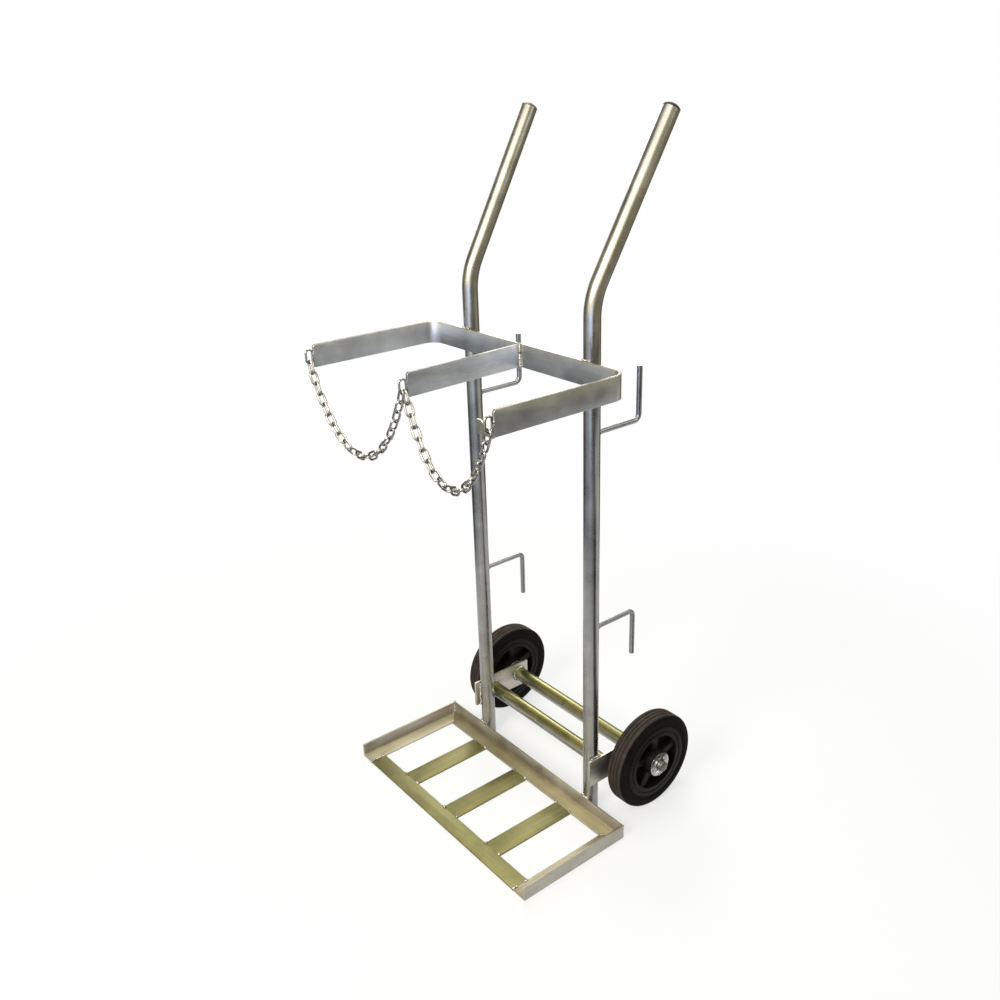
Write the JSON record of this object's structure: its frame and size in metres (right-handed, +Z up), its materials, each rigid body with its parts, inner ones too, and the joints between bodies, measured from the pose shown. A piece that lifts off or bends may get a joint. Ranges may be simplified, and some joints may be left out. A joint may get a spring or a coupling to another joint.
{
  "type": "welding cart",
  "caption": "Welding cart with tubular uprights and swept-back handles, a flat-bar bottle holder with hanging chains, a slatted angle-steel base, hose hooks and rubber-tyred wheels.",
  "frame": {"origin": "on the floor, in the middle of the cart, level with the front faces of the two uprights, which is the back lower edge of the base frame", "axes": "+X along the axle, towards the right wheel (right seen from the front of the base, looking at the uprights); +Y to the back, where the wheels are; +Z up"},
  "size_m": [0.552, 0.51, 1.3196],
  "materials": {
    "zinc_tube": "bright zinc plated tube and round bar",
    "flat_steel": "zinc plated flat bar, satin with fine drawing lines",
    "base_steel": "zinc plated angle, satin",
    "slat_steel": "zinc plated flat bar, satin, slightly yellow",
    "bright_steel": "bright zinc plated washers, pins and axle",
    "chain_steel": "bright zinc plated welded chain",
    "black_plastic": "black moulded plastic",
    "tyre_rubber": "solid black-brown rubber"
  },
  "bodies": {
    "cart": {"left_upright": "zinc_tube", "right_upright": "zinc_tube", "left_handle_plug": "black_plastic", "right_handle_plug": "black_plastic", "base_back_angle": "base_steel", "base_left_angle": "base_steel", "base_right_angle": "base_steel", "base_front_flat": "slat_steel", "base_left_slat": "slat_steel", "base_middle_slat": "slat_steel", "base_right_slat": "slat_steel", "holder_hoop": "flat_steel", "holder_divider": "flat_steel", "chain_hook_plate": "flat_steel", "left_upper_hook": "zinc_tube", "right_upper_hook": "zinc_tube", "left_lower_hook": "zinc_tube", "right_lower_hook": "zinc_tube", "left_axle_bracket": "flat_steel", "right_axle_bracket": "flat_steel", "front_cross_tube": "zinc_tube", "axle_tube": "zinc_tube", "axle": "bright_steel", "axle_spacers": "bright_steel", "hub_washers": "bright_steel", "end_washers": "bright_steel", "split_pins": "bright_steel", "left_anchor_link": "chain_steel", "middle_anchor_link": "chain_steel", "right_anchor_link": "chain_steel", "chain_end_links": "chain_steel"},
    "left_wheel": {"left_hub": "black_plastic", "left_tyre": "tyre_rubber"},
    "right_wheel": {"right_hub": "black_plastic", "right_tyre": "tyre_rubber"},
    "left_chain": {"left_chain": "chain_steel"},
    "right_chain": {"right_chain": "chain_steel"}
  },
  "joints": [
    {"name": "left_wheel_spin", "type": "hinge", "parent": "cart", "child": "left_wheel", "pos_m": [-0.2245, 0.12, 0.1], "axis": [1, 0, 0], "continuous": true},
    {"name": "right_wheel_spin", "type": "hinge", "parent": "cart", "child": "right_wheel", "pos_m": [0.2245, 0.12, 0.1], "axis": [1, 0, 0], "continuous": true},
    {"name": "left_chain_swing", "type": "hinge", "parent": "cart", "child": "left_chain", "pos_m": [-0.25777, -0.2815, 0.87643], "axis": [0.9977, 0.0678, 0], "range_deg": [-60, 60]},
    {"name": "right_chain_swing", "type": "hinge", "parent": "cart", "child": "right_chain", "pos_m": [0.02078, -0.25925, 0.87653], "axis": [0.9956, -0.0936, 0], "range_deg": [-60, 60]}
  ]
}
